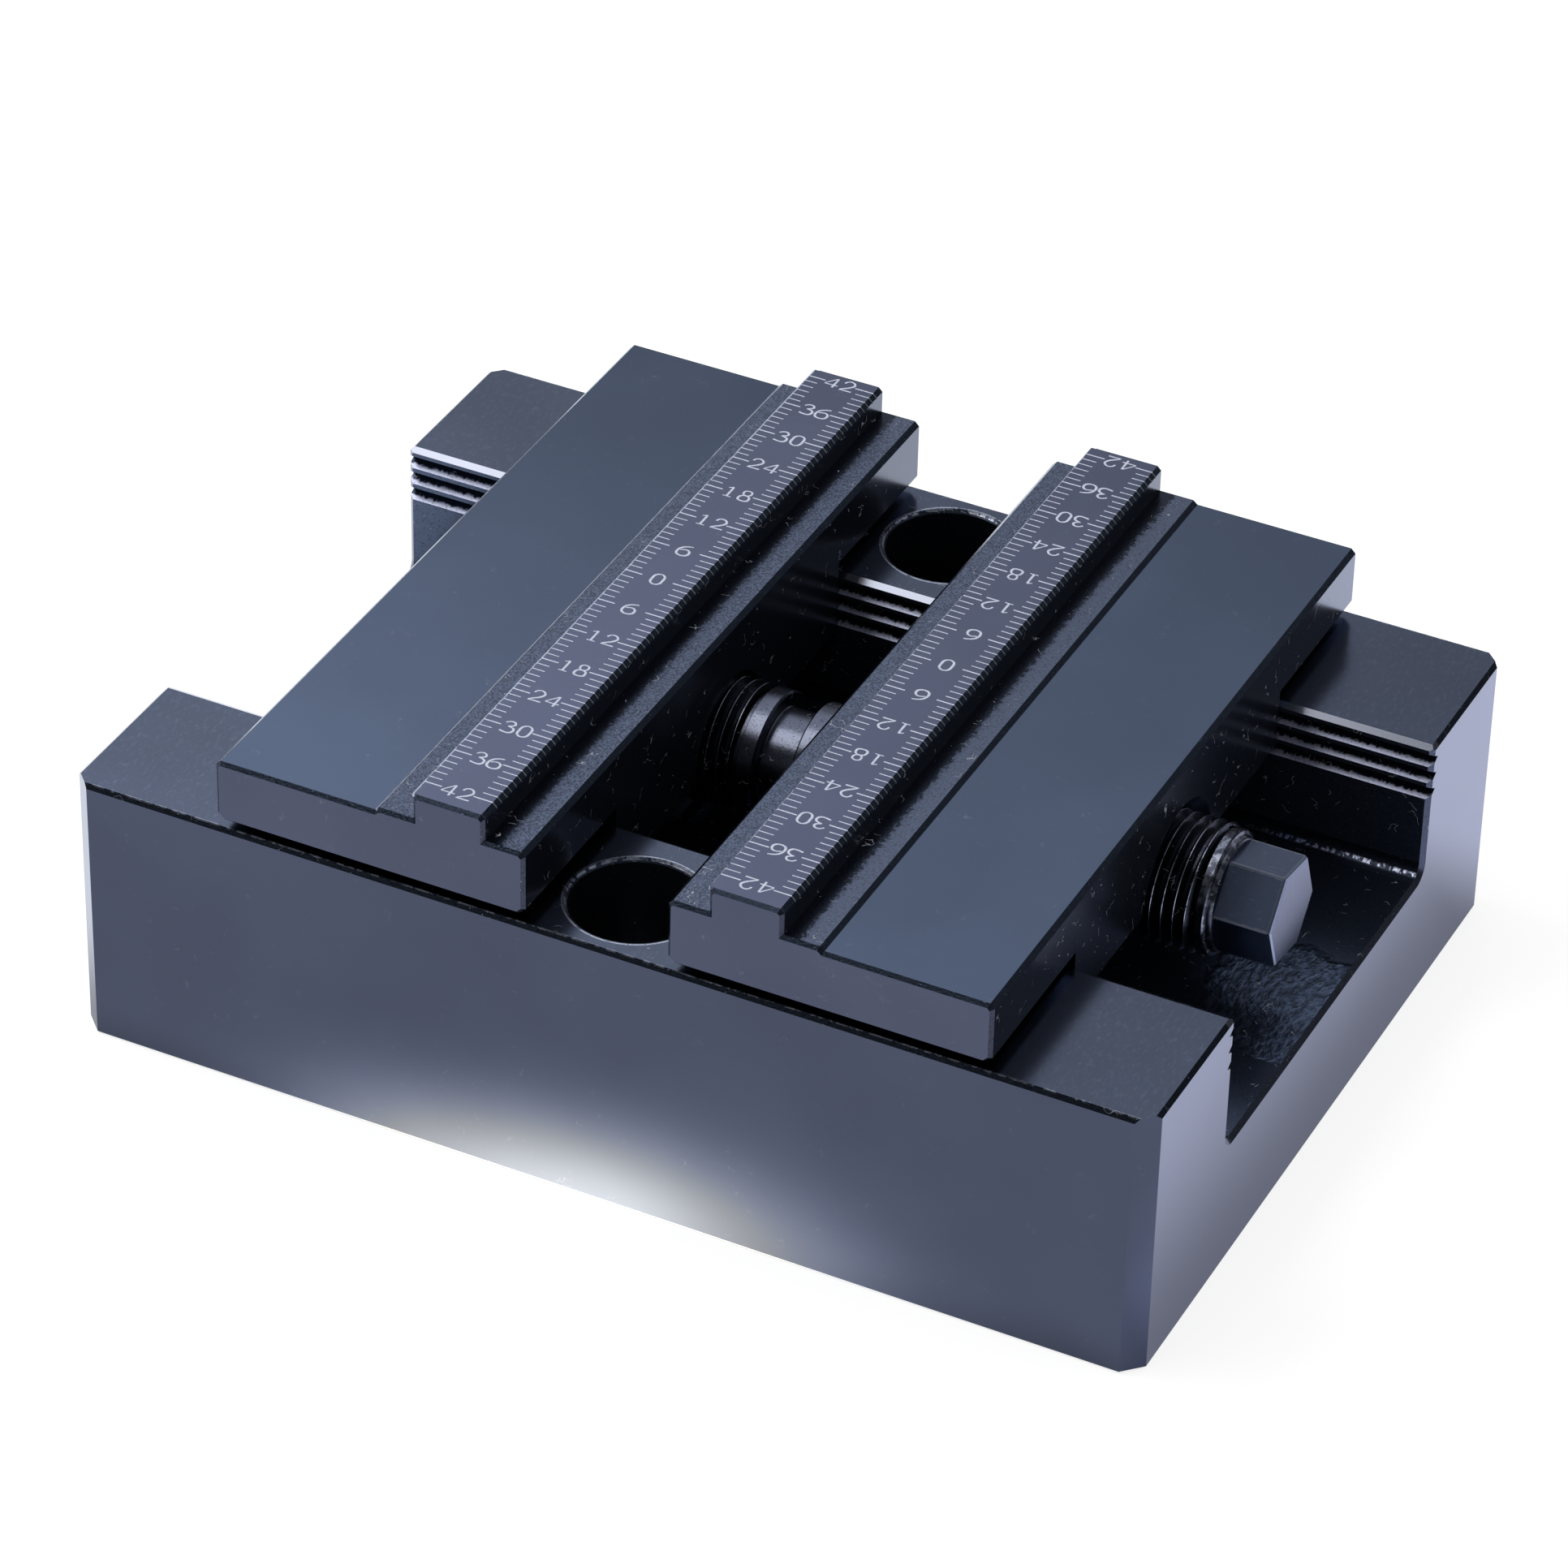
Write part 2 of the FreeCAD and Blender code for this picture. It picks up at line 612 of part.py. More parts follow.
os.makedirs("parts", exist_ok=True)
for part in parts:
    part.Shape.exportStep(f"parts/{part.Label}.step")
    print(part.Label, len(part.Shape.Solids), round(part.Shape.Volume, 1))
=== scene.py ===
import math

import bpy
from mathutils import Matrix, Vector


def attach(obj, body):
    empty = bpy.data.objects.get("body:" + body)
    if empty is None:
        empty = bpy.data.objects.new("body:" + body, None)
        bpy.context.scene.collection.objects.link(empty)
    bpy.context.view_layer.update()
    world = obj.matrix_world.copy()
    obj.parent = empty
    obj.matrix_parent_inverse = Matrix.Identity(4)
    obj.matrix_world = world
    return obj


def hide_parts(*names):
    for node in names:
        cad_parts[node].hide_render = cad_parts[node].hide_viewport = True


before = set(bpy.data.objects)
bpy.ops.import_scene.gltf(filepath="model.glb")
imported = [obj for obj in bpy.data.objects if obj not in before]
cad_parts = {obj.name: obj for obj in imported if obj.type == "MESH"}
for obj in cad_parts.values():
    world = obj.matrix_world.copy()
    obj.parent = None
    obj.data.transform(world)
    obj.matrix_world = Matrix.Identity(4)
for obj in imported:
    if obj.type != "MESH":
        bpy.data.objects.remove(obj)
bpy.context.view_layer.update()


# The base body is one block of tool steel, milled, hardened, ground on its outer faces and then blackened. Its
# vees are cut along the walls of its channel, which keeps the darker, rougher skin left by the milling cutter. The
# vees, their fillet and the channel's floor are darkened further as painted shade. Bright bands on the vees and
# the fillet are painted highlights, and so are the broken rings round the counterbores' rims.

MM = 0.001
TOUCH = 0.02
BASE_TOP = 31.1
BASE_BEVEL = 0.45
BASE_HALF_LENGTH = 59.2
BASE_HALF_WIDTH = 44.35
CHANNEL_HALF_WIDTH = 25.1
CHANNEL_FLOOR = 15.25
CHANNEL_FILLET = 1.5
VEE_REACH = 1.4
BOLT_PLACE = 35.55
BOLT_HEAD_RADIUS = 6.75
BOLT_BEVEL = 0.44
SCALY_MIDDLE = (57, -1)
SCALY_REACH = (12, 10)
BASE_STEEL = (0.07, 0.079, 0.114)
BASE_TOP_STEEL = (0.068, 0.08, 0.112)
CHANNEL_STEEL = (0.045, 0.06, 0.095)
BEVEL_STEEL = (0.026, 0.033, 0.048)
CUTTER_STEEL = (0.17, 0.178, 0.21)
# VEE_HIGHLIGHT_STEEL is the bright tone of the painted highlights on the vees and the fillet.
VEE_HIGHLIGHT_STEEL = (0.4, 0.42, 0.54)
BARE_STEEL = (0.34, 0.36, 0.42)
LINT = (0.4, 0.41, 0.46)


class Finish:
    """A number, colour or direction in a surface's finish. Sums written with it add the nodes they need."""

    def __init__(self, tree, socket):
        self.tree = tree
        self.socket = socket

    def node(self, kind, settings, inputs, out=0):
        """Add a node with its settings, and the values or links of its sockets."""
        made = self.tree.nodes.new("ShaderNode" + kind)
        for name, setting in settings.items():
            setattr(made, name, setting)
        for name, value in inputs.items():
            if isinstance(value, Finish):
                self.tree.links.new(value.socket, made.inputs[name])
            elif made.inputs[name].type == "RGBA":
                made.inputs[name].default_value = (*value, 1)
            else:
                made.inputs[name].default_value = value
        return Finish(self.tree, made.outputs[out]) if made.outputs else made

    def math(self, operation, *terms):
        return self.node("Math", {"operation": operation}, dict(enumerate(terms)))

    def __add__(self, other):
        return self.math("ADD", self, other)

    def __sub__(self, other):
        return self.math("SUBTRACT", self, other)

    def __rsub__(self, other):
        return self.math("SUBTRACT", other, self)

    def __mul__(self, other):
        return self.math("MULTIPLY", self, other)

    def __truediv__(self, other):
        return self.math("DIVIDE", self, other)

    def __pow__(self, other):
        return self.math("POWER", self, other)

    def __gt__(self, other):
        return self.math("GREATER_THAN", self, other)

    def __lt__(self, other):
        return self.math("LESS_THAN", self, other)

    def __abs__(self):
        return self.math("ABSOLUTE", self)

    __radd__ = __add__
    __rmul__ = __mul__

    def least(self, other):
        return self.math("MINIMUM", self, other)

    def most(self, other):
        return self.math("MAXIMUM", self, other)

    def rise(self, low, high):
        """Go smoothly from 0 at low to 1 at high, or down again if high is the smaller."""
        return self.node("MapRange", {"interpolation_type": "SMOOTHSTEP"},
                         {"Value": self, "From Min": low, "From Max": high})

    def fall(self):
        """Fall from 1 at 0 away to nothing, as light does around the middle of its patch."""
        return self.math("EXPONENT", self * -1)

    def blend(self, first, second):
        """Mix two colours, the second where this number is 1."""
        return self.node("Mix", {"data_type": "RGBA"}, {0: self, 6: first, 7: second}, out=2)

    def parts(self):
        """Split a direction or a place into its X, Y and Z."""
        return [self.node("SeparateXYZ", {}, {0: self}, out=index) for index in range(3)]

    def moved(self, shift, scale=(1, 1, 1)):
        """Shift a place and draw it out along its axes, so that two patterns on it differ."""
        return self.node("Mapping", {}, {"Vector": self, "Location": shift, "Scale": scale})

    def noise(self, scale, detail=3.0, roughness=0.55):
        return self.node("TexNoise", {}, {"Vector": self, "Scale": scale, "Detail": detail,
                                          "Roughness": roughness})

    def specks(self, spacing, size, share):
        """Scatter small spots, 1 inside a spot and 0 outside, in a share of the cells."""
        cells = {"Vector": self, "Scale": 1 / spacing, "Randomness": 1.0}
        distance = self.node("TexVoronoi", {"feature": "F1"}, cells)
        chance = self.node("TexVoronoi", {"feature": "F1"}, cells, out=1).parts()[0]
        return distance.rise(size / spacing, size / spacing * 0.5) * (chance < share)


def start_finish(name):
    """Open a new finish, and give it with the place on its piece in millimetres and the way the surface faces."""
    material = bpy.data.materials.new(name)
    material.use_nodes = True
    material.node_tree.nodes.clear()
    tree = Finish(material.node_tree, None)
    place = tree.node("TexCoord", {}, {}, out=3)
    facing = tree.node("TexCoord", {}, {}, out=1)
    return material, place.node("VectorMath", {"operation": "SCALE"}, {0: place, "Scale": 1 / MM}), facing


def close_finish(base_color, roughness, metallic, height):
    """Put the finish's colour, roughness, metallic share and relief, in millimetres, on its surface."""
    relief = height.node("Bump", {}, {"Height": height, "Distance": MM, "Strength": 1.0})
    shader = height.node("BsdfPrincipled", {}, {
        "Base Color": base_color, "Roughness": roughness, "Metallic": metallic, "Normal": relief})
    height.node("OutputMaterial", {}, {"Surface": shader})


def shade(colour, factor):
    return tuple(factor * part for part in colour)


def ground_face(place, tone):
    """Give the colour, roughness and relief of a ground and blackened face: satin, faintly clouded."""
    cloud = place.noise(0.045, 2.0).rise(0.3, 0.7)
    grain = place.noise(7.0, 3.0, 0.7)
    return cloud.blend(shade(tone, 0.94), shade(tone, 1.06)), grain * 0.05 + 0.18, grain * 0.001


def blasted_face(place, tone, depth=0.012, fleck_share=0.5):
    """Give the colour, roughness and relief of a blackened face left as blasted: fine pits and bright flecks."""
    grain = place.noise(4.2, 3.0, 0.65)
    pitted = grain.rise(0.3, 0.5).blend(shade(tone, 0.5), shade(tone, 1.1))
    fleck = place.specks(0.7, 0.075, fleck_share)
    return (fleck * 0.6).blend(pitted, BARE_STEEL), grain * 0.12 + 0.19, grain * depth + fleck * 0.006


def lint_on(place):
    """Give 1 on the few specks of dust and short curled fibres that lie on the metal."""
    dust = place.specks(1.5, 0.06, 0.45)
    curl = place.noise(0.42, 2.0, 0.5)
    strand = abs(curl - 0.5).rise(0.0055, 0.003) * place.moved((30, 7, 3)).noise(0.6, 1.0).rise(0.6, 0.63)
    return dust.most(strand)


def lay_over(cover, under, over):
    """Lay one face's colour, roughness and relief over another's where cover says 1."""
    return (cover.blend(under[0], over[0]), under[1] + (over[1] - under[1]) * cover,
            under[2] + (over[2] - under[2]) * cover)


def finish_steel(face, lint, dull=0):
    """Close a steel finish with lint lying on it. Where it is dull, its oxide scatters some of the light."""
    colour, roughness, height = face
    close_finish(lint.blend(colour, LINT), roughness.most(lint * 0.6), (1 - lint) * (1 - dull * 0.13),
                 height + lint * 0.01)


def dress(name, material):
    """Give a node of the frame its finish."""
    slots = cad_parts[name].data.materials
    slots.clear()
    slots.append(material)


material, place, facing = start_finish("blackened_base_steel")
x, y, z = place.parts()
across, along, up = facing.parts()
outer_top = (up > 0.9) * (z > BASE_TOP - 0.05)
in_channel = abs(y) < CHANNEL_HALF_WIDTH + VEE_REACH
channel = in_channel * (z < BASE_TOP - BASE_BEVEL) * (abs(x) < BASE_HALF_LENGTH - TOUCH)
channel_floor = channel * (z < CHANNEL_FLOOR + TOUCH)
leaning = (up > 0.3) * (up < 0.95)
edge_bevel = leaning * (abs(y) > CHANNEL_HALF_WIDTH + VEE_REACH + 0.1)
channel_lip = leaning * (abs(y) < CHANNEL_HALF_WIDTH + VEE_REACH + 0.1) * (z > BASE_TOP - BASE_BEVEL + 0.03)
vee_faces = channel * leaning * (z > CHANNEL_FLOOR + CHANNEL_FILLET)
fillet = channel * (z < CHANNEL_FLOOR + CHANNEL_FILLET) * (z > CHANNEL_FLOOR + TOUCH)
bolt_distance = (x ** 2 + (abs(y) - BOLT_PLACE) ** 2) ** 0.5
from_bolt_wall = bolt_distance - BOLT_HEAD_RADIUS
bolt_ring = (abs(from_bolt_wall - BOLT_BEVEL / 2) < BOLT_BEVEL / 2) * (z > BASE_TOP - 0.5)
bolt_well = (bolt_distance < BOLT_HEAD_RADIUS + TOUCH) * (z < BASE_TOP - 0.3)
broken = place.noise(1.3, 3.0, 0.6)
# Painted highlights: two broken bright rings round each counterbore's rim.
outer_ring_highlight = abs(from_bolt_wall - 0.54).rise(0.12, 0.08) * broken.rise(0.3, 0.45)
inner_ring_highlight = abs(from_bolt_wall - 0.25).rise(0.13, 0.08) * broken.rise(0.42, 0.52)
painted_ring_highlight = outer_ring_highlight.most(inner_ring_highlight) * (z > BASE_TOP - 0.5)
streak = place.moved((0, 0, 0), (1.3, 0.5, 1)).noise(2.0, 4.0, 0.75).rise(0.5, 0.72)
top_edge = (abs(y) + (broken - 0.5) * 0.2 > BASE_HALF_WIDTH - 0.55) * (z > BASE_TOP - 0.1) * (up > 0.5)
mouth_bevel = (abs(across) > 0.3) * (abs(across) < 0.95) * in_channel
beads = place.moved((0, 0, 0), (2.0, 1, 1)).noise(1.5, 2.0, 0.5)
# Painted highlights: bands where the vees' lower faces and the fillet would catch the light, broken into dots.
painted_vee_highlight = vee_faces * (abs(y) + (beads - 0.5) * 0.9 - CHANNEL_HALF_WIDTH).rise(0.64, 0.36)
painted_fillet_highlight = fillet * abs(up - 0.8).rise(0.13, 0.05) * beads.rise(0.45, 0.58) * abs(x).rise(36, 52)
ripple = place.moved((0, 0, 0), (1.5, 0.8, 1)).noise(1.1, 4.0, 0.6)
from_scaly = (((x - SCALY_MIDDLE[0]) / SCALY_REACH[0]) ** 2 + ((y - SCALY_MIDDLE[1]) / SCALY_REACH[1]) ** 2
              + (place.noise(0.25) - 0.5) * 1.4)
scaly = channel_floor * from_scaly.rise(0.95, 0.7)
face = lay_over(outer_top, ground_face(place, BASE_STEEL), ground_face(place, BASE_TOP_STEEL))
face = lay_over(outer_top * streak * 0.5, face, ground_face(place, shade(BASE_TOP_STEEL, 1.7)))
face = lay_over(channel, face, blasted_face(place, CHANNEL_STEEL, 0.003, 0.25))
# Painted shade: the channel's floor is darkened further, as the recess's shade.
face = lay_over(channel_floor, face, blasted_face(place, shade(CHANNEL_STEEL, 0.75), 0.003, 0.25))
face = lay_over(scaly, face, (ripple.rise(0.4, 0.62).blend(shade(CHANNEL_STEEL, 0.7), shade(CHANNEL_STEEL, 1.6)),
                              ripple * 0.1 + 0.18, ripple * 0.14))
face = lay_over(edge_bevel.most(bolt_well), face, blasted_face(place, BEVEL_STEEL, 0.015, 0.5))
# Painted shade: the vees and the fillet are darkened as the grooves' shade.
face = lay_over(fillet.most(vee_faces), face, blasted_face(place, shade(CHANNEL_STEEL, 0.35), 0.01, 0.1))
# Painted highlights in bright steel on the fillet and on the vees' lower faces.
face = lay_over(painted_fillet_highlight, face, blasted_face(place, VEE_HIGHLIGHT_STEEL, 0.02, 0.4))
colour, roughness, height = blasted_face(place, VEE_HIGHLIGHT_STEEL, 0.02, 0.5)
face = lay_over(painted_vee_highlight, face, (colour, roughness + 0.2, height))
face = lay_over(mouth_bevel, face, blasted_face(place, shade(BASE_STEEL, 0.65), 0.01, 0.3))
face = lay_over(channel_lip, face, ground_face(place, CUTTER_STEEL))
face = lay_over(bolt_ring, face, blasted_face(place, shade(BEVEL_STEEL, 1.3), 0.02, 0.2))
# Bare steel lays the rims' painted highlights, and real wear along the base's top edges.
face = lay_over(painted_ring_highlight.most(top_edge * broken.rise(0.42, 0.56) * 0.5), face,
                blasted_face(place, BARE_STEEL, 0.01, 0.2))
handled_top = outer_top * (abs(x) < 20) * 0.3
dust = lint_on(place).most(place.specks(0.75, 0.05, 0.3) * channel.most(handled_top))
dust_left = 0.06 + handled_top + channel.most(edge_bevel * 0.7) * (1 - fillet) * 0.5
finish_steel(face, dust * dust_left, channel.most(bolt_well))
dress("base_body", material)


# The retainer is a small milled block of blackened steel. Its saddle stands in the lead screw's neck, and its
# foot is let into the underside of the base, held by two socket head cap screws and placed by two dowel pins.

RETAINER_STEEL = (0.06, 0.065, 0.085)
RETAINER_EDGE = (0.09, 0.095, 0.11)
CAP_SCREW_OXIDE = (0.035, 0.035, 0.042)
CAP_SCREW_RUBBED = (0.05, 0.05, 0.06)
PIN_TONES = ((0.40, 0.41, 0.43), (0.5, 0.51, 0.53))
PIN_WORN = (0.3, 0.31, 0.33)

material, place, facing = start_finish("milled_retainer_steel")
across, along, up = facing.parts()
broken_edge = abs(across).most(abs(along)).most(abs(up)).rise(0.95, 0.9)
tool_marks = place.moved((0, 0, 0), (1, 9, 1)).noise(0.9, 2.0)
colour, roughness, height = ground_face(place, RETAINER_STEEL)
finish_steel(lay_over(broken_edge, (colour, roughness + tool_marks * 0.12, height + tool_marks * 0.004),
                      blasted_face(place, RETAINER_EDGE)), lint_on(place) * 0.3)
dress("screw_retainer", material)

material, place, facing = start_finish("cap_screw_black_oxide")
knurling = place.moved((0, 0, 0), (1, 1, 0.5)).noise(2.2, 3.0).rise(0.45, 0.6)
finish_steel(lay_over(knurling, ground_face(place, CAP_SCREW_OXIDE),
                      blasted_face(place, CAP_SCREW_RUBBED)), lint_on(place) * 0.2)
dress("retainer_screws", material)

material, place, facing = start_finish("polished_pin_steel")
rings = place.moved((0, 0, 0), (0.2, 0.2, 9)).noise(1.4, 2.0)
polish = (rings.blend(*PIN_TONES), rings * 0.1 + 0.16, rings * 0.001)
finish_steel(lay_over(place.noise(0.8).rise(0.62, 0.7), polish, blasted_face(place, PIN_WORN)),
             lint_on(place) * 0.2)
dress("locating_pins", material)


# The lead screw is turned from one bar. Threads of opposite hands run out to its two ends from a pair of collars
# and a neck at the middle, and a milled hexagon for the wrench ends it. Handling has worn its crests bright.

SCREW_HEIGHT = 25.5
THREAD_PITCH = 1.25
THREAD_RADIUS = 6.9
THREAD_ROOT = 6.13
THREAD_START = 4.7
THREAD_ENDS = (46.9, -46.5)
THREAD_STEPS = 60
LATHE_STEPS = 96
WELD = 0.002
THREAD_PROFILE = ((0.0, 0.0), (0.13, 0.0), (0.17, 0.03), (0.54, 0.69), (0.575, 0.75), (0.605, 0.77),
                  (0.645, 0.77), (0.675, 0.75), (0.71, 0.69), (1.08, 0.03), (1.12, 0.0), (1.25, 0.0))
NECK_PROFILE = ((-4.9, 0.0), (-4.9, 6.13), (-3.9, 6.13), (-3.9, 6.82), (-3.82, 6.9), (-2.2, 6.9), (-2.0, 6.7),
                (-2.0, 5.35), (-1.85, 5.25), (1.85, 5.25), (2.0, 5.35), (2.0, 6.7), (2.2, 6.9), (3.82, 6.9),
                (3.9, 6.82), (3.9, 6.13), (4.9, 6.13), (4.9, 0.0))
LAND_PROFILE = ((46.7, 0.0), (46.7, 6.45), (46.95, 6.6), (47.75, 6.6), (47.9, 6.45), (47.98, 6.12), (48.35, 6.02),
                (48.5, 5.88), (48.56, 5.7), (48.56, 0.0))
TAIL_PROFILE = ((-46.4, 0.0), (-46.4, 6.1), (-46.6, 6.1), (-46.9, 5.6), (-46.9, 0.0))
HEX_START = 47.9
HEX_TIP = 54.7
HEX_RADIUS = 5.7735
HEX_TURN = 51.4
HEX_BEVEL = 0.45
HEX_BEVEL_STEPS = ((0.3, 0.97), (0.15, 0.955))
NECK_HALF_LENGTH = 4.5
LAND_SPAN = (46.9, 48.6)
LAND_FOOT = 5.9
SMOOTH_ANGLE = 28
SCREW_STEEL = (0.055, 0.06, 0.078)
NECK_STEEL = (0.1, 0.108, 0.14)
HEX_STEEL = (0.13, 0.16, 0.233)
HEX_END_STEEL = (0.066, 0.077, 0.124)


def draw_profile(name, points):
    """Start a mesh as a line of edges, its points given in millimetres along the screw's axis and out from it."""
    bpy.ops.object.select_all(action="DESELECT")
    bpy.ops.mesh.primitive_plane_add(size=MM, location=(0, 0, SCREW_HEIGHT * MM))
    piece = bpy.context.object
    piece.name = name
    bpy.ops.object.mode_set(mode="EDIT")
    bpy.ops.mesh.merge(type="CENTER")
    along, out = points[0]
    bpy.ops.transform.translate(value=(along * MM, out * MM, 0))
    for (along, out), (next_along, next_out) in zip(points, points[1:]):
        bpy.ops.mesh.extrude_region_move(TRANSFORM_OT_translate={
            "value": ((next_along - along) * MM, (next_out - out) * MM, 0)})
    bpy.ops.object.mode_set(mode="OBJECT")
    return piece


def keep_in_mesh(piece):
    """Leave the object at the origin, unturned and unscaled, with its place in its mesh."""
    bpy.ops.object.select_all(action="DESELECT")
    piece.select_set(True)
    bpy.context.view_layer.objects.active = piece
    bpy.ops.object.transform_apply(location=True, rotation=True, scale=True)


def close_shell(piece):
    """Merge a shell's seams and poles, and face it outwards."""
    bpy.context.view_layer.objects.active = piece
    bpy.ops.object.mode_set(mode="EDIT")
    bpy.ops.mesh.select_all(action="SELECT")
    bpy.ops.mesh.remove_doubles(threshold=WELD * MM)
    bpy.ops.mesh.normals_make_consistent(inside=False)
    bpy.ops.object.mode_set(mode="OBJECT")


def join_pieces(pieces, name):
    bpy.ops.object.select_all(action="DESELECT")
    for piece in pieces:
        piece.select_set(True)
    bpy.context.view_layer.objects.active = pieces[0]
    bpy.ops.object.join()
    pieces[0].name = name
    keep_in_mesh(pieces[0])
    return pieces[0]


def turn_profile(name, points):
    piece = draw_profile(name, points)
    bpy.ops.object.mode_set(mode="EDIT")
    bpy.ops.mesh.select_all(action="SELECT")
    bpy.ops.mesh.spin(steps=LATHE_STEPS, angle=math.tau, center=(0, 0, SCREW_HEIGHT * MM), axis=(1, 0, 0))
    bpy.ops.object.mode_set(mode="OBJECT")
    close_shell(piece)
    return piece


def cut_thread(name, near, far):
    """Wind one pitch of the thread's profile from near to far, and saw both ends off square."""
    hand = 1 if far > near else -1
    points = [(near + hand * (along - 2 * THREAD_PITCH), THREAD_ROOT + out) for along, out in THREAD_PROFILE]
    piece = draw_profile(name, points)
    winding = piece.modifiers.new("winding", "SCREW")
    winding.axis = "X"
    winding.angle = -math.tau
    winding.screw_offset = hand * THREAD_PITCH * MM
    winding.iterations = math.ceil(abs(far - near) / THREAD_PITCH) + 4
    winding.steps = THREAD_STEPS
    winding.render_steps = THREAD_STEPS
    winding.use_merge_vertices = True
    winding.merge_threshold = WELD * MM
    bpy.ops.object.modifier_apply(modifier="winding")
    bpy.ops.object.mode_set(mode="EDIT")
    for place, side in ((near, -hand), (far, hand)):
        bpy.ops.mesh.select_all(action="SELECT")
        bpy.ops.mesh.bisect(plane_co=(place * MM, 0, 0), plane_no=(side, 0, 0), use_fill=True, clear_outer=True)
    bpy.ops.object.mode_set(mode="OBJECT")
    close_shell(piece)
    return piece


def mill_hexagon(name):
    """Mill the wrench's hexagon on the bar's end, and break its end edges."""
    body_length = HEX_TIP - HEX_BEVEL - HEX_START
    bpy.ops.object.select_all(action="DESELECT")
    bpy.ops.mesh.primitive_cylinder_add(
        vertices=6, radius=HEX_RADIUS * MM, depth=body_length * MM, rotation=(0, 0, math.radians(HEX_TURN)))
    piece = bpy.context.object
    piece.name = name
    keep_in_mesh(piece)
    piece.rotation_euler = (0, math.pi / 2, 0)
    piece.location = ((HEX_START + body_length / 2) * MM, 0, SCREW_HEIGHT * MM)
    keep_in_mesh(piece)
    bpy.ops.object.mode_set(mode="EDIT")
    bpy.ops.mesh.select_all(action="DESELECT")
    bpy.ops.object.mode_set(mode="OBJECT")
    for face in piece.data.polygons:
        face.select = face.normal.x > 0.9
    bpy.ops.object.mode_set(mode="EDIT")
    for ahead, share in HEX_BEVEL_STEPS:
        bpy.ops.mesh.extrude_region_move(TRANSFORM_OT_translate={"value": (ahead * MM, 0, 0)})
        bpy.ops.transform.resize(value=(1, share, share), center_override=(0, 0, SCREW_HEIGHT * MM))
    bpy.ops.object.mode_set(mode="OBJECT")
    return piece


screw = join_pieces([
    turn_profile("screw_neck", NECK_PROFILE),
    turn_profile("screw_land", LAND_PROFILE),
    turn_profile("screw_tail", TAIL_PROFILE),
    cut_thread("right_thread", THREAD_START, THREAD_ENDS[0]),
    cut_thread("left_thread", -THREAD_START, THREAD_ENDS[1]),
    mill_hexagon("screw_hexagon"),
], "threaded_lead_screw")
bpy.ops.object.shade_smooth_by_angle(angle=math.radians(SMOOTH_ANGLE))

material, place, facing = start_finish("turned_screw_steel")
x, y, z = place.parts()
radius = (y ** 2 + (z - SCREW_HEIGHT) ** 2) ** 0.5
worn = place.noise(1.1, 4.0, 0.7)
threaded = (abs(x) > NECK_HALF_LENGTH) * (abs(x) < LAND_SPAN[0] + 0.05)
crest = (radius > THREAD_RADIUS - 0.045) * threaded
land = (x > LAND_SPAN[0]) * (x < LAND_SPAN[1]) * (radius > LAND_FOOT)
hexagon = x > LAND_SPAN[1] - 0.05
corner = hexagon * (radius + (worn - 0.5) * 0.25 > HEX_RADIUS - 0.12)
rim = (x > HEX_TIP - HEX_BEVEL) * (x < HEX_TIP - 0.01)
bare = (crest * worn.rise(0.36, 0.5)).most(land * worn.rise(0.44, 0.58) * 0.5).most(corner * 0.5).most(rim * 0.35)
scratch = place.moved((3, 1, 0), (0.5, 2.2, 1.6)).noise(1.6, 4.0, 0.75).rise(0.6, 0.68) * 0.5
face = lay_over(hexagon, ground_face(place, SCREW_STEEL), ground_face(place, HEX_STEEL))
face = lay_over(hexagon * scratch, face, ground_face(place, shade(HEX_STEEL, 2.0)))
face = lay_over(hexagon * (facing.parts()[0] > 0.9), face, ground_face(place, HEX_END_STEEL))
face = (bare.blend(face[0], BARE_STEEL), face[1] + worn * 0.08, face[2] + worn * 0.004)
face = lay_over(threaded * (radius < THREAD_RADIUS - 0.05), face, blasted_face(place, shade(SCREW_STEEL, 0.6)))
face = lay_over((abs(x) < NECK_HALF_LENGTH) * 0.8, face, blasted_face(place, NECK_STEEL, 0.012, 0.3))
finish_steel(face, lint_on(place) * (0.5 - hexagon * 0.4))
screw.data.materials.clear()
screw.data.materials.append(material)
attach(screw, "screw")
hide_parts("lead_screw")


# The two jaws are milled from the solid, ground on their plates and blackened. Each has a ledge and a rib for
# the work, a ridged guide block that runs in the base's vees, and a threaded boss for the screw.

PLATE_TOP = 39.0
LEDGE_TOP = 39.42
RIB_TOP = 42.35
SLAB_FOOT = 32.0
RIBS = {"left": (-20.075, -12.175), "right": (12.175, 20.075)}
RIB_BEVEL = 0.45
JAW_STEEL = (0.074, 0.096, 0.142)
JAW_END_STEEL = (0.079, 0.087, 0.127)
RIB_STEEL = (0.098, 0.108, 0.158)
LEDGE_STEEL = (0.088, 0.104, 0.148)
JAW_SIDE_SHADE_STEEL = (0.044, 0.055, 0.085)
WORN_STEEL = (0.5, 0.53, 0.62)
RUST = (0.09, 0.055, 0.045)
ROLLED_EDGE = {"left": -20.25, "right": 12.0}
RIB_END = 43.7
STEP_EDGE = 24.35
SPOT_GREY = (0.2, 0.2, 0.23)

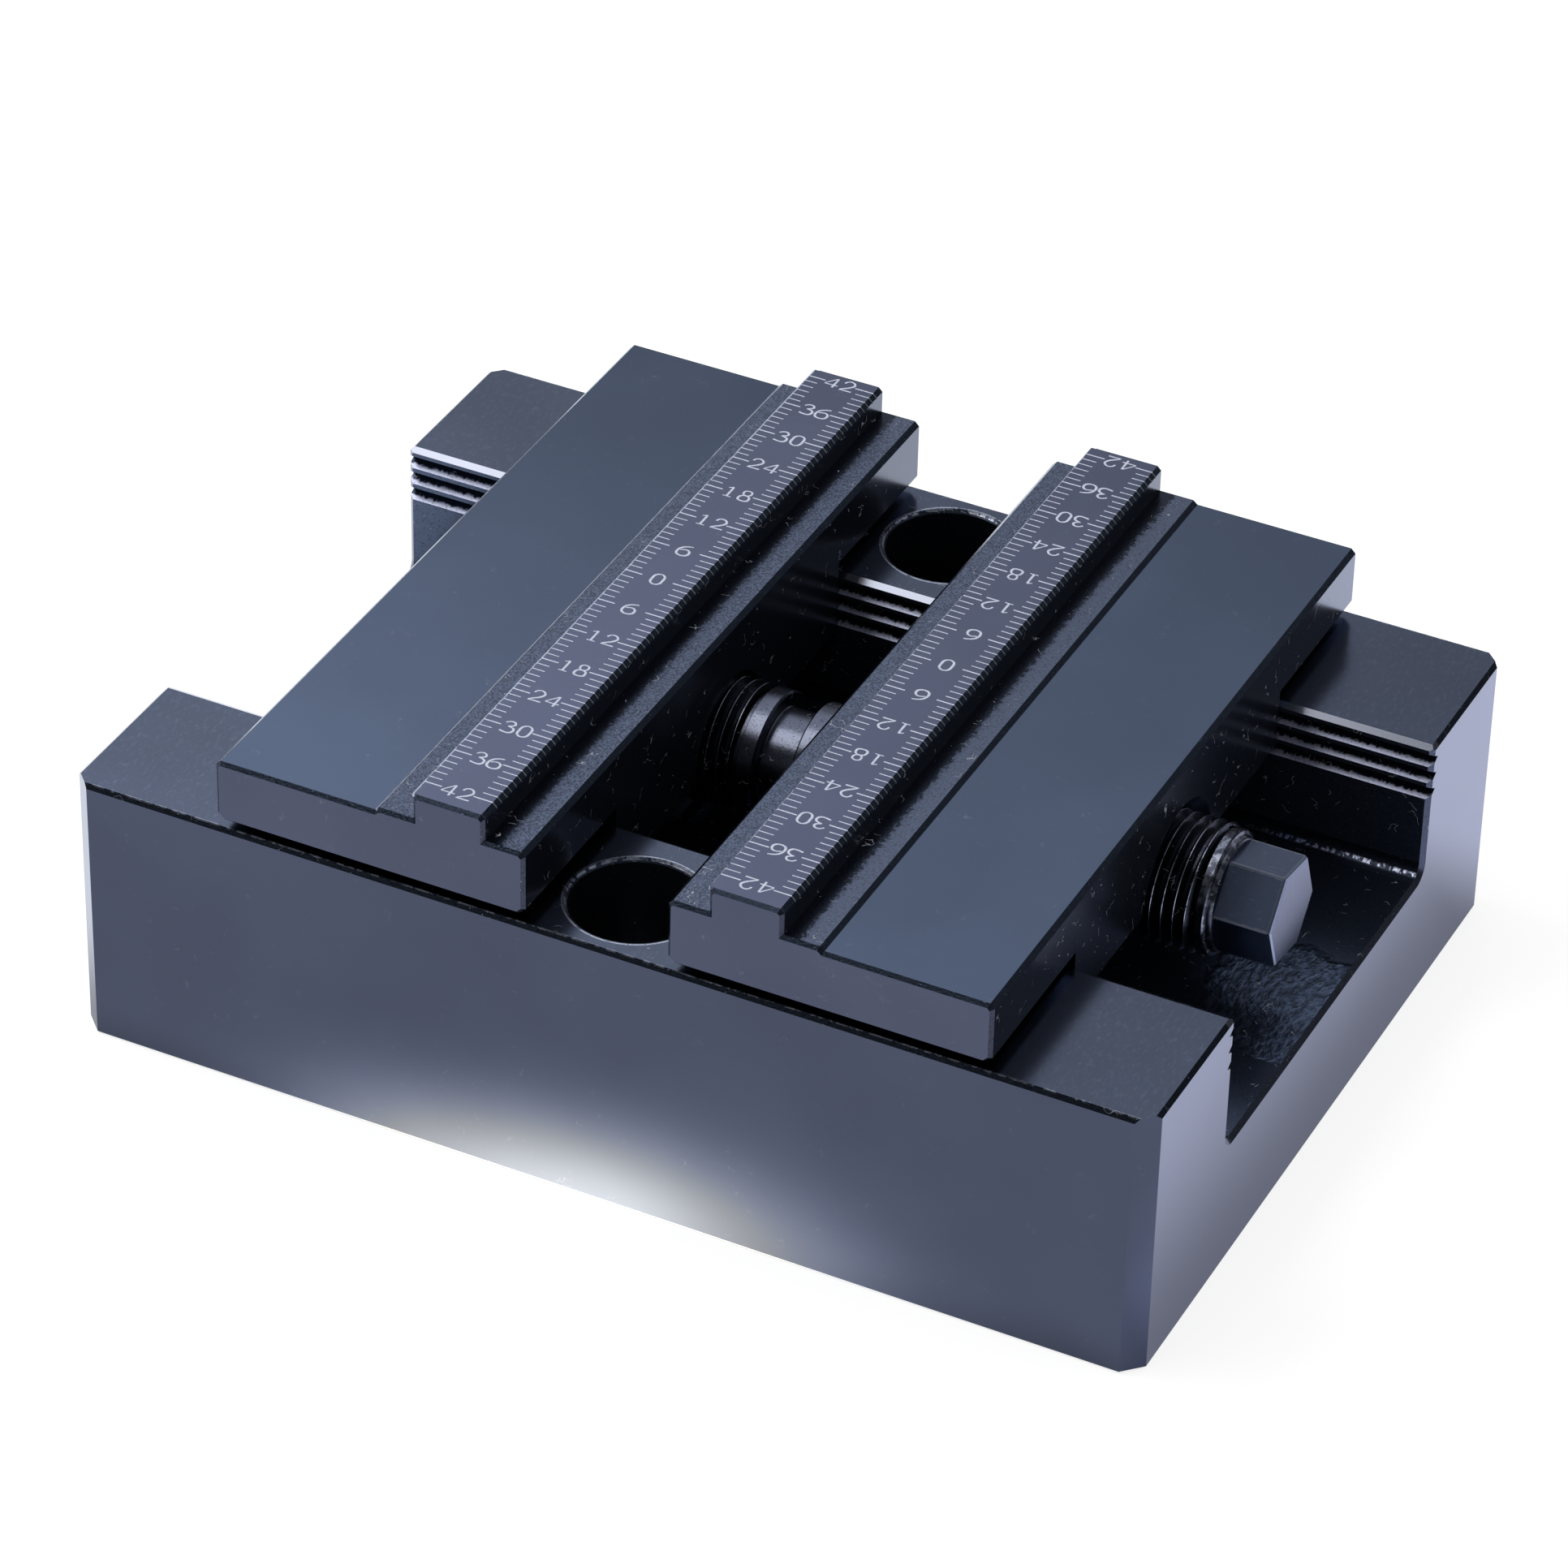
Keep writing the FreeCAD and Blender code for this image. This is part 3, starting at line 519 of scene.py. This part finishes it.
material, place, facing = start_finish("blackened_jaw_steel")
x, y, z = place.parts()
across, along, up = facing.parts()
rib_top = (up > 0.9) * (z > RIB_TOP - 0.1)
ledge = (up > 0.9) * (z > PLATE_TOP + 0.2) * (z < LEDGE_TOP + 0.2)
jaw_end = abs(along) > 0.9
leaning = (abs(up) > 0.3) * (abs(up) < 0.95)
milled_side_and_shade = abs(across) > 0.9
wave = place.noise(0.5, 3.0, 0.65)
rear_line = abs(x - ROLLED_EDGE["left"]).least(abs(x - ROLLED_EDGE["right"]) + 0.08)
edge_wear = (rear_line + (wave - 0.5) * 0.5).rise(0.24, 0.14) * (z > RIB_TOP - RIB_BEVEL)
step_wear = (z > PLATE_TOP + TOUCH) * (z < LEDGE_TOP + TOUCH) * (abs(x + STEP_EDGE) + (wave - 0.5) * 0.6 < 0.32)
rib_end = (z > RIB_TOP - RIB_BEVEL - TOUCH) * (abs(y) > RIB_END)
from_rib = abs(x - RIBS["left"][1]).least(abs(x - RIBS["right"][1]))
corner = (abs(across) > 0.3) * (abs(along) > 0.3)
grain = place.noise(4.6, 4.0, 0.85)
grainy = ledge * (1 - (x > 19) * 0.8)
rib_foot_painted_reflection = ledge * (from_rib + (place.noise(2.6, 3.0, 0.7) - 0.5) * 2.6).rise(2.0, 1.5)
left_plate = (up > 0.9) * (abs(z - PLATE_TOP) < 0.1) * (x < 0)
spots = place.specks(1.1, 0.1, 0.6).most(place.specks(2.3, 0.19, 0.4)) * milled_side_and_shade * (z < LEDGE_TOP)
spots = spots * (0.25 + place.noise(0.35).rise(0.4, 0.6) * 0.75)
face = lay_over(jaw_end, ground_face(place, JAW_STEEL), ground_face(place, JAW_END_STEEL))
# Painted shade: the left jaw's plate is darkened towards its far end.
face = lay_over(left_plate * y.rise(-45, 55) * 0.7, face, ground_face(place, shade(JAW_STEEL, 0.66)))
face = lay_over(rib_top, face, ground_face(place, RIB_STEEL))
# The jaws' side faces and the blocks below the slab take a darker tone: partly their milled finish, partly painted
# shade.
face = lay_over(milled_side_and_shade.most(z < SLAB_FOOT - 0.1), face, ground_face(place, JAW_SIDE_SHADE_STEEL))
face = lay_over(ledge, face, blasted_face(place, LEDGE_STEEL, 0.016, 0.7))
face = lay_over(grainy, face, (grain.rise(0.4, 0.6).blend(shade(LEDGE_STEEL, 0.5), shade(LEDGE_STEEL, 1.45)),
                               grain * 0.15 + 0.16, grain * 0.02))
# Painted reflection: a dark band on the ledge along each rib's foot stands for the rib's dark side mirrored in it.
face = lay_over(rib_foot_painted_reflection, face, blasted_face(place, shade(JAW_SIDE_SHADE_STEEL, 0.35), 0.02, 0.2))
face = lay_over(leaning * (z > SLAB_FOOT), face, blasted_face(place, shade(JAW_STEEL, 0.6), 0.03, 0.8))
face = lay_over(leaning * rib_end, face, blasted_face(place, shade(JAW_STEEL, 1.5), 0.01, 0.5))
face = lay_over(corner, face, blasted_face(place, shade(JAW_END_STEEL, 0.6), 0.01, 0.5))
face = lay_over(edge_wear.most(step_wear), face, (wave.rise(0.2, 0.5).blend(RIB_STEEL, WORN_STEEL), wave * 0.2 + 0.35,
                                                  wave * 0.003))
spot_tone = place.noise(0.9).rise(0.45, 0.5).blend(RUST, SPOT_GREY)
face = (spots.blend(face[0], spot_tone), face[1] + spots * 0.2, face[2] + spots * 0.012)
finish_steel(face, lint_on(place) * (0.1 + ledge.most(milled_side_and_shade) * 0.7), milled_side_and_shade)
for side in RIBS:
    dress(f"{side}_jaw", material)


# Use has rolled a thin lip over the rear edge of each rib, where work and tools are dragged across it. The lip is
# the rib's own steel, pushed out over its broken edge, with most of the blackening rubbed off.

ROLL_HALF_LENGTH = 43.79
ROLL_HEIGHT = 0.55
ROLL_ROUNDING = 0.15


def select_edges(piece, chosen):
    """Go into edit mode with the edges selected whose two ends the test picks."""
    bpy.ops.object.mode_set(mode="EDIT")
    bpy.ops.mesh.select_mode(type="EDGE")
    bpy.ops.mesh.select_all(action="DESELECT")
    bpy.ops.object.mode_set(mode="OBJECT")
    for edge in piece.data.edges:
        edge.select = all(chosen(piece.data.vertices[index].co / MM) for index in edge.vertices)
    bpy.ops.object.mode_set(mode="EDIT")


def roll_edge(name, outer, inner, material):
    """Fill a rib's broken edge out to the lip that use has rolled over it."""
    bpy.ops.object.select_all(action="DESELECT")
    bpy.ops.mesh.primitive_cube_add(
        size=MM, location=((outer + inner) / 2 * MM, 0, (RIB_TOP - ROLL_HEIGHT / 2) * MM),
        scale=(inner - outer, 2 * ROLL_HALF_LENGTH, ROLL_HEIGHT))
    piece = bpy.context.object
    piece.name = name
    keep_in_mesh(piece)
    select_edges(piece, lambda place: abs(place.x - outer) < 0.001 and place.z > RIB_TOP - 0.1)
    bpy.ops.mesh.bevel(offset=ROLL_ROUNDING * MM, segments=2)
    bpy.ops.mesh.select_mode(type="VERT")
    bpy.ops.object.mode_set(mode="OBJECT")
    piece.data.materials.clear()
    piece.data.materials.append(material)
    return piece


for side, (rear, front) in RIBS.items():
    rolled = roll_edge(f"{side}_jaw_rolled_edge", ROLLED_EDGE[side], rear + RIB_BEVEL, material)
    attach(rolled, f"{side}_jaw")


# Each rib carries a scale in millimetres, numbered outwards from its middle. Its strokes and numbers are burnt
# into the blackening by a laser, and lie on the metal as a thin, pale grey, slightly rough film.

SCALE_MIDDLE = 0.42
STROKE_WIDTH = 0.125
LONG_STROKE_WIDTH = 0.165
FILM = 0.012
PEN = 0.8
STROKE_ENDS = {"left": (-18.7, -18.2, -14.2, -14.72), "right": (13.74, 14.24, 18.24, 17.74)}
NUMBER_MIDDLE = {"left": -16.42, "right": 16.02}
NUMBER_DROP = 0.05
NUMBER_SPACING = 6
NUMBERS_EACH_WAY = 7
REAR_STROKE_INSET = 0.14
FOLD_REACH = 0.15
DIGIT_STEP = 1.8
DIGIT_MIDDLE = 1.1
DIGIT_SIZE = (0.93, 0.89)
DIGIT_THICKNESS = 0.2
MARK_TONES = ((0.42, 0.45, 0.55), (0.7, 0.74, 0.88))
FOLDED_MARK = (0.04, 0.045, 0.055)
DIGITS = {
    "0": (((-0.65, 1.1, 0.21), (-0.62, 1.9, 0.2), (0, 2.28, 0.12), (0.62, 1.9, 0.2), (0.65, 1.1, 0.21),
           (0.62, 0.3, 0.2), (0, -0.08, 0.12), (-0.62, 0.3, 0.2)),),
    "1": (((-0.5, 1.86, 0.09), (-0.2, 1.93, 0.13), (0.02, 2.12, 0.16)),
          ((0.03, 2.12, 0.17), (0.03, 1.2, 0.18), (0.03, 0.12, 0.19)),
          ((-0.46, 0.08, 0.1), (0.03, 0.12, 0.12), (0.54, 0.08, 0.1))),
    "2": (((-0.6, 1.62, 0.17), (-0.5, 2.15, 0.14), (0.25, 2.28, 0.15), (0.75, 1.65, 0.2), (0.35, 1.0, 0.2),
           (-0.15, 0.6, 0.17), (-0.62, 0.22, 0.13)),
          ((-0.72, 0.13, 0.12), (0.0, 0.15, 0.15), (0.8, 0.15, 0.16))),
    "3": (((-0.62, 1.75, 0.15), (-0.35, 2.15, 0.13), (0.35, 2.2, 0.17), (0.65, 1.5, 0.2), (-0.05, 1.22, 0.12)),
          ((-0.12, 1.2, 0.12), (0.75, 1.15, 0.19), (0.8, 0.2, 0.22), (0.1, -0.08, 0.14), (-0.65, 0.15, 0.17))),
    "4": (((0.28, 2.05, 0.13), (-0.25, 1.4, 0.11), (-0.78, 0.66, 0.1)),
          ((-0.78, 0.62, 0.12), (0.0, 0.62, 0.13), (0.84, 0.62, 0.12)),
          ((0.36, 2.1, 0.16), (0.36, 1.1, 0.18), (0.36, 0.05, 0.19))),
    "6": (((0.62, 2.12, 0.12), (-0.1, 2.0, 0.15), (-0.75, 1.3, 0.2), (-0.75, 0.2, 0.21), (0.0, -0.1, 0.14),
           (0.72, 0.2, 0.21), (0.72, 1.05, 0.2), (0.1, 1.42, 0.12), (-0.5, 1.05, 0.12)),),
    "8": (((-0.5, 1.66, 0.17), (-0.45, 2.05, 0.16), (0, 2.25, 0.12), (0.45, 2.05, 0.16), (0.5, 1.66, 0.17),
           (0.4, 1.3, 0.15), (0, 1.12, 0.13), (-0.4, 1.3, 0.15)),
          ((-0.64, 0.6, 0.2), (-0.6, 0.1, 0.19), (0, -0.06, 0.13), (0.6, 0.1, 0.19), (0.64, 0.6, 0.2),
           (0.5, 1.02, 0.17), (0, 1.2, 0.13), (-0.5, 1.02, 0.17))),
}


def burn_strokes(edge, tip, width, count, pitch, repeats=1, repeat_pitch=0):
    """Burn a column of strokes on a rib. Those from its +X edge are folded down over the edge's bevel."""
    folded = edge > tip
    outer = edge + FILM if folded else edge
    height = RIB_BEVEL + FOLD_REACH if folded else 2 * FILM
    first = SCALE_MIDDLE - pitch * (count - 1) / 2 - repeat_pitch * (repeats - 1) / 2
    bpy.ops.object.select_all(action="DESELECT")
    bpy.ops.mesh.primitive_cube_add(
        size=MM, location=((outer + tip) / 2 * MM, first * MM, (RIB_TOP + FILM - height / 2) * MM),
        scale=(abs(outer - tip), width, height))
    piece = bpy.context.object
    keep_in_mesh(piece)
    if folded:
        select_edges(piece, lambda place: abs(place.x - outer) < 0.001 and place.z > RIB_TOP)
        bpy.ops.mesh.bevel(offset=RIB_BEVEL * MM, segments=1)
        bpy.ops.mesh.select_mode(type="VERT")
        bpy.ops.object.mode_set(mode="OBJECT")
    for number, spacing in ((count, pitch), (repeats, repeat_pitch)):
        row = piece.modifiers.new("row", "ARRAY")
        row.count = number
        row.use_relative_offset = False
        row.use_constant_offset = True
        row.constant_offset_displace = (0, spacing * MM, 0)
        bpy.ops.object.modifier_apply(modifier="row")
    return piece


def burn_digit(digit, middle_x, middle_y, turned):
    """Burn one digit, drawn as flat strokes that swell and thin along their centre lines."""
    drawing = bpy.data.curves.new(f"digit_{digit}", "CURVE")
    drawing.dimensions = "3D"
    drawing.bevel_depth = MM
    drawing.bevel_resolution = 1
    drawing.use_fill_caps = True
    for points in DIGITS[digit]:
        line = drawing.splines.new("NURBS")
        line.points.add(len(points) - 1)
        for point, (across, up, half_width) in zip(line.points, points):
            point.co = (across * MM, (up - DIGIT_MIDDLE) * MM, 0, 1)
            point.radius = half_width * PEN
        line.use_cyclic_u = len(points) == 8
        line.use_endpoint_u = len(points) != 8
        line.order_u = 3
        line.resolution_u = 5
    piece = bpy.data.objects.new(f"digit_{digit}", drawing)
    bpy.context.scene.collection.objects.link(piece)
    bpy.ops.object.select_all(action="DESELECT")
    piece.select_set(True)
    bpy.context.view_layer.objects.active = piece
    bpy.ops.object.convert(target="MESH")
    piece = bpy.context.object
    piece.scale = (*DIGIT_SIZE, FILM / (DIGIT_THICKNESS * PEN))
    piece.rotation_euler = (0, 0, math.pi if turned else 0)
    piece.location = (middle_x * MM, middle_y * MM, RIB_TOP * MM)
    keep_in_mesh(piece)
    return piece


material, place, facing = start_finish("laser_marking")
mottle = place.noise(6.0, 4.0, 0.7)
folded = place.parts()[2] < RIB_TOP - TOUCH
colour = mottle.rise(0.3, 0.7).blend(*MARK_TONES)
close_finish((folded * 0.88).blend(colour, FOLDED_MARK), mottle * 0.2 + 0.45, mottle * 0.3, mottle * 0.01)

for side, (rear, front) in RIBS.items():
    rear_short, rear_long, front_short, front_long = STROKE_ENDS[side]
    turned = side == "right"
    marks = []
    for edge, short, long in ((ROLLED_EDGE[side] + REAR_STROKE_INSET, rear_short, rear_long),
                              (front, front_short, front_long)):
        marks.append(burn_strokes(edge, short, STROKE_WIDTH, NUMBER_SPACING - 1, 1,
                                  2 * NUMBERS_EACH_WAY, NUMBER_SPACING))
        marks.append(burn_strokes(edge, long, LONG_STROKE_WIDTH, 2 * NUMBERS_EACH_WAY + 1, NUMBER_SPACING))
    for count in range(-NUMBERS_EACH_WAY, NUMBERS_EACH_WAY + 1):
        number = str(abs(NUMBER_SPACING * count))
        for index, digit in enumerate(number):
            step = (index - (len(number) - 1) / 2) * (-DIGIT_STEP if turned else DIGIT_STEP)
            middle_y = SCALE_MIDDLE + NUMBER_SPACING * count - NUMBER_DROP
            marks.append(burn_digit(digit, NUMBER_MIDDLE[side] + step, middle_y, turned))
    scale = join_pieces(marks, f"{side}_jaw_scale")
    scale.data.materials.clear()
    scale.data.materials.append(material)
    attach(scale, f"{side}_jaw")


# The photograph's table is a plain white sweep that runs into a white wall. The steel mirrors its white, with
# the table's brighter patch in front of the vise and its brighter ground to the right and behind.

WHITE_LIGHT = (0.94, 0.99, 1.1)
BLUE_LIGHT = (0.94, 1.0, 1.27)
WARM_LIGHT = (1.0, 0.93, 0.7)
FLOOR_SIZE = 6
FLOOR_GREY = (0.3, 0.3, 0.3)
FRONT_OF_BASE = -42
PATCH_X = -2.4
PATCH_REACH = (21, 9.2)
PATCH_LIGHT = 11.0
ROOM_LIGHT = 0.35
BOX_PLACE = (-0.5, -0.15, 0.8)
BOX_SIZE = (0.6, 0.54)
BOX_WATTS = 4.2
CAMERA_LENS = 157.604
CAMERA_PLACE = (0.24634, -0.5146, 0.42914)
CAMERA_RIGHT = (0.89439986, 0.44680413, 0.02037039)
CAMERA_DOWN = (0.2742304, -0.51182879, -0.8141431)
CAMERA_FORWARD = (-0.35333634, 0.73375566, -0.58030687)

bpy.ops.object.select_all(action="DESELECT")
bpy.ops.mesh.primitive_plane_add(size=FLOOR_SIZE, location=(0, 0, 0))
floor = bpy.context.object
floor.name = "floor"
material, place, facing = start_finish("white_table")
x, y, z = place.parts()
seen = place.node("LightPath", {}, {}, out=0)
mirrored = place.node("LightPath", {}, {}, out=3)
front = y.rise(FRONT_OF_BASE, FRONT_OF_BASE - 8)
in_line = y.rise(-56, -44)
beyond_right = (x - 57).rise(2, 19) * in_line
beyond = beyond_right.most((x + 57).rise(-2, -19) * y.rise(-60, -46)).most((y - 38).rise(0, 18))
patch = ((((x - PATCH_X) / PATCH_REACH[0]) ** 2 + ((y - FRONT_OF_BASE) / PATCH_REACH[1]) ** 2) ** 0.94).fall()
sheen = 0.44 + (front * 0.33).most(beyond * 0.9) + patch * PATCH_LIGHT
cool_ground = (x.rise(55, 60) * in_line).blend(WHITE_LIGHT, BLUE_LIGHT)
sheen_colour = (patch * 3).least(1).blend(cool_ground, WARM_LIGHT)
glow = place.node("Emission", {}, {"Color": mirrored.blend((1, 1, 1), sheen_colour),
                                   "Strength": seen * 0.8 + mirrored * sheen})
paint = place.node("BsdfDiffuse", {}, {"Color": FLOOR_GREY})
place.node("OutputMaterial", {}, {"Surface": place.node("AddShader", {}, {0: glow, 1: paint})})
floor.data.materials.append(material)

world = bpy.data.worlds.new("studio")
bpy.context.scene.world = world
world.use_nodes = True
world.node_tree.nodes.clear()
room = Finish(world.node_tree, None)
seen = room.node("LightPath", {}, {}, out=0)
mirrored = room.node("LightPath", {}, {}, out=3)
passed = room.node("LightPath", {}, {}, out=6)
east, north, high = room.node("TexCoord", {}, {}, out=0).parts()
rear_wall = ((east * -1).rise(0.25, 0.5) * 0.9 + 0.74) * (high.rise(0.5, 0.6) * 0.8 + 0.45)
dark_door = (east * -0.33 + north * -0.56 + high * 0.76).rise(0.87, 0.97)
dark_side = 1 - east.rise(0.05, 0.35) * 0.6
wall = (ROOM_LIGHT + (rear_wall - ROOM_LIGHT) * north.rise(-0.2, 0.3)) * (1 - dark_door * 0.8) * dark_side
plain = 1 - seen.most(passed).most(mirrored)
strength = seen.most(passed) + mirrored * wall + plain * 0.7
colour = mirrored.blend((1, 1, 1), WHITE_LIGHT)
background = room.node("Background", {}, {"Color": colour, "Strength": strength})
room.node("OutputWorld", {}, {"Surface": background})


def soft_box(name, place, aim, size, watts):
    lamp = bpy.data.lights.new(name, "AREA")
    lamp.shape = "RECTANGLE"
    lamp.size, lamp.size_y = size
    lamp.energy = watts
    stand = bpy.data.objects.new(name, lamp)
    stand.location = place
    stand.rotation_euler = (Vector(aim) - Vector(place)).to_track_quat("-Z", "Y").to_euler()
    bpy.context.scene.collection.objects.link(stand)


soft_box("overhead_box", BOX_PLACE, (*BOX_PLACE[:2], 0), BOX_SIZE, BOX_WATTS)

camera_data = bpy.data.cameras.new("camera")
camera_data.sensor_width = 36
camera_data.lens = CAMERA_LENS
camera_data.clip_start = 0.01
camera = bpy.data.objects.new("camera", camera_data)
turn = Matrix((Vector(CAMERA_RIGHT), -Vector(CAMERA_DOWN), -Vector(CAMERA_FORWARD))).transposed()
camera.matrix_world = Matrix.Translation(CAMERA_PLACE) @ turn.to_4x4()
bpy.context.scene.collection.objects.link(camera)
bpy.context.scene.camera = camera
bpy.context.scene.view_settings.view_transform = "Standard"
